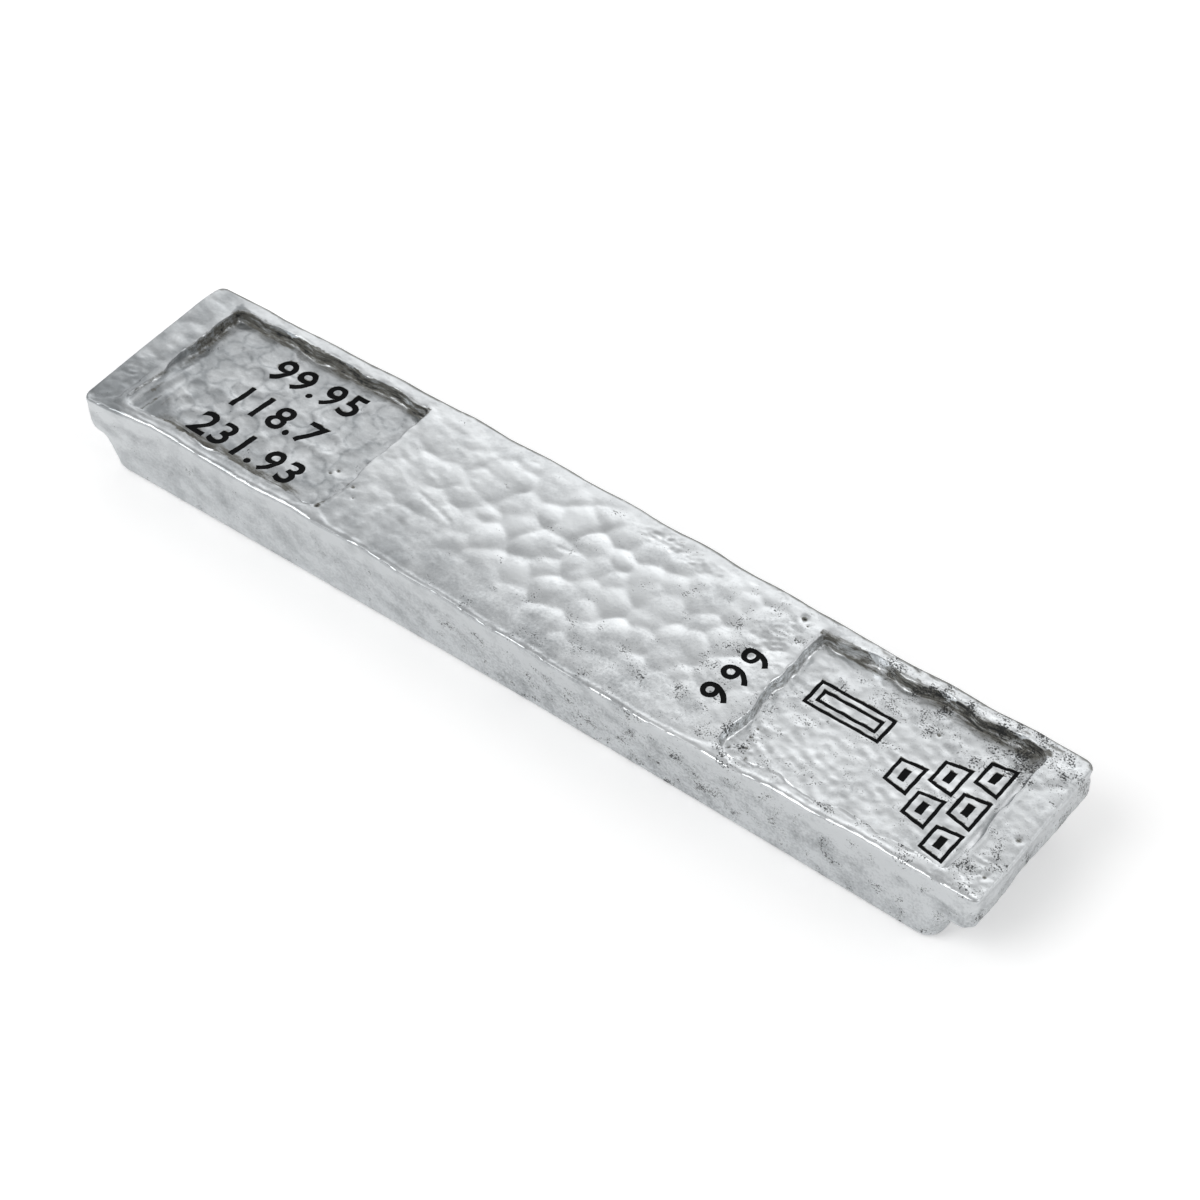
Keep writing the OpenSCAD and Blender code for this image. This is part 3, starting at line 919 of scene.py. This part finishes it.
class INGOT_OT_finish(bpy.types.Operator):
    """Marks where oxide, painted shade and pin holes gather and gives every piece its material"""

    bl_idname = "ingot.finish"
    bl_label = "Finish"

    def execute(self, context):
        finish = context.scene.ingot_finish
        mesh = bpy.data.objects[CASTING].data
        mesh.materials.clear()
        mesh.materials.append(tin_material(finish))
        p = read_vectors(mesh, "co") / MM
        normal = read_vectors(mesh, "normal")
        shape = Shape()
        write_attribute(mesh, "oxide_and_shade", oxide_and_shade_places(shape, p, normal))
        write_attribute(mesh, "worn", worn_places(shape, p, normal))
        write_attribute(mesh, "specks", speck_places(shape, p))
        write_attribute(mesh, "dull_and_shade", dull_and_shade_places(shape, p, normal, context.scene.ingot_relief))
        mesh.shade_smooth()
        mesh.set_sharp_from_angle(angle=math.radians(50))
        enamel = enamel_material(finish)
        for name in FILLS:
            fill = bpy.data.objects[name].data
            fill.materials.clear()
            fill.materials.append(enamel)
            fill.shade_smooth()
            fill.set_sharp_from_angle(angle=math.radians(40))
        return {"FINISHED"}


def direction(azimuth, elevation):
    """From the ingot towards that side, in degrees; azimuth 0 is the near side and 90 the right end."""
    az, el = math.radians(azimuth), math.radians(elevation)
    return Vector((math.sin(az) * math.cos(el), -math.cos(az) * math.cos(el), math.sin(el)))


def area_lamp(name, azimuth, elevation, distance, width, height, radiance):
    """A softbox that faces the ingot from that side."""
    data = bpy.data.lights.new(name, "AREA")
    data.shape = "RECTANGLE"
    data.size = width
    data.size_y = height
    data.energy = radiance * math.pi * width * height
    lamp = new_object(name, data)
    way = direction(azimuth, elevation)
    lamp.location = way * distance
    lamp.rotation_euler = way.to_track_quat("Z", "Y").to_euler()


class INGOT_OT_stage(bpy.types.Operator):
    """Adds the white floor, the lamps, the world and the camera"""

    bl_idname = "ingot.stage"
    bl_label = "Stage"

    def execute(self, context):
        scene = context.scene
        stage = scene.ingot_stage
        bm = bmesh.new()
        bmesh.ops.create_grid(bm, x_segments=1, y_segments=1, size=3.0)
        mesh = bpy.data.meshes.new("floor")
        bm.to_mesh(mesh)
        bm.free()
        floor = new_object("floor", mesh)
        floor.data.materials.append(floor_material(scene.ingot_finish))

        behind = math.degrees(stage.azimuth) + 180
        area_lamp("Left softbox", behind + 105, 45, 1.0, 0.7, 0.9, 2.6)
        area_lamp("Right softbox", behind - 110, 40, 1.0, 0.6, 0.6, 1.8)

        world = bpy.data.worlds.new("Studio")
        scene.world = world
        world.use_nodes = True
        tree = world.node_tree
        tree.nodes.clear()
        # A wide diffuser low behind the ingot: the light grows softly towards its middle
        way = node(tree, "ShaderNodeTexCoord").outputs["Generated"]
        diffuser = node(tree, "ShaderNodeVectorMath",
                        {"operation": "DOT_PRODUCT", 1: direction(behind - 18, 12)}, {0: way})
        facing = node(tree, "ShaderNodeMath", {"operation": "MAXIMUM", 1: 0.0},
                      {0: diffuser.outputs["Value"]})
        falloff = node(tree, "ShaderNodeMath", {"operation": "POWER", 1: 4.0}, {0: facing.outputs["Value"]})
        # It ends a hand's width above the table, so that the far edges stay grey
        upward = node(tree, "ShaderNodeSeparateXYZ", None, {"Vector": way}).outputs["Z"]
        above_table = node(tree, "ShaderNodeMapRange",
                           {"interpolation_type": "SMOOTHSTEP", "From Min": 0.02, "From Max": 0.26,
                            "To Min": 0.1, "To Max": 1.45}, {"Value": upward}).outputs["Result"]
        level = node(tree, "ShaderNodeMath", {"operation": "MULTIPLY_ADD", 2: 0.35},
                     {0: falloff.outputs["Value"], 1: above_table})
        rays = node(tree, "ShaderNodeLightPath")
        room = node(tree, "ShaderNodeBackground", {"Color": (1, 1, 1, 1)},
                    {"Strength": level.outputs["Value"]})
        white = node(tree, "ShaderNodeBackground", {"Color": (1, 1, 1, 1), "Strength": 1.0})
        mixed = node(tree, "ShaderNodeMixShader", None,
                     {0: rays.outputs["Is Camera Ray"], 1: room.outputs["Background"],
                      2: white.outputs["Background"]})
        node(tree, "ShaderNodeOutputWorld", None, {"Surface": mixed.outputs["Shader"]})

        data = bpy.data.cameras.new("Camera")
        data.sensor_width = 36
        data.sensor_fit = "HORIZONTAL"
        data.lens = stage.lens
        data.clip_start = 0.01
        camera = new_object("Camera", data)
        back = direction(math.degrees(stage.azimuth), math.degrees(stage.elevation))
        camera.location = Vector(stage.target) + back * stage.distance
        turn = back.to_track_quat("Z", "Y") @ Matrix.Rotation(stage.roll, 3, "Z").to_quaternion()
        camera.rotation_euler = turn.to_euler()
        scene.camera = camera
        scene.view_settings.view_transform = "Standard"
        return {"FINISHED"}


class INGOT_PT_panel(bpy.types.Panel):
    """Lists the steps and their sizes"""

    bl_idname = "INGOT_PT_panel"
    bl_label = "Tin Ingot"
    bl_space_type = "VIEW_3D"
    bl_region_type = "UI"
    bl_category = "Ingot"

    def draw(self, context):
        for group in GROUPS:
            settings = getattr(context.scene, group)
            for key in settings.bl_rna.properties.keys():
                if key not in ("rna_type", "name"):
                    self.layout.prop(settings, key)
        for step in STEPS:
            self.layout.operator(step.bl_idname)


GROUPS = {
    "ingot_relief": IngotReliefSettings,
    "ingot_marks": IngotMarkSettings,
    "ingot_finish": IngotFinishSettings,
    "ingot_stage": IngotStageSettings,
}
STEPS = (INGOT_OT_casting, INGOT_OT_numbers, INGOT_OT_picture, INGOT_OT_finish, INGOT_OT_stage)


def register():
    for cls in (*GROUPS.values(), *STEPS, INGOT_PT_panel):
        bpy.utils.register_class(cls)
    for name, cls in GROUPS.items():
        setattr(bpy.types.Scene, name, bpy.props.PointerProperty(type=cls))


def unregister():
    for name in GROUPS:
        delattr(bpy.types.Scene, name)
    for cls in (INGOT_PT_panel, *reversed(STEPS), *reversed(GROUPS.values())):
        bpy.utils.unregister_class(cls)


def main():
    register()
    bpy.ops.ingot.casting()
    bpy.ops.ingot.numbers()
    bpy.ops.ingot.picture()
    bpy.ops.ingot.finish()
    bpy.ops.ingot.stage()


if __name__ == "__main__":
    main()
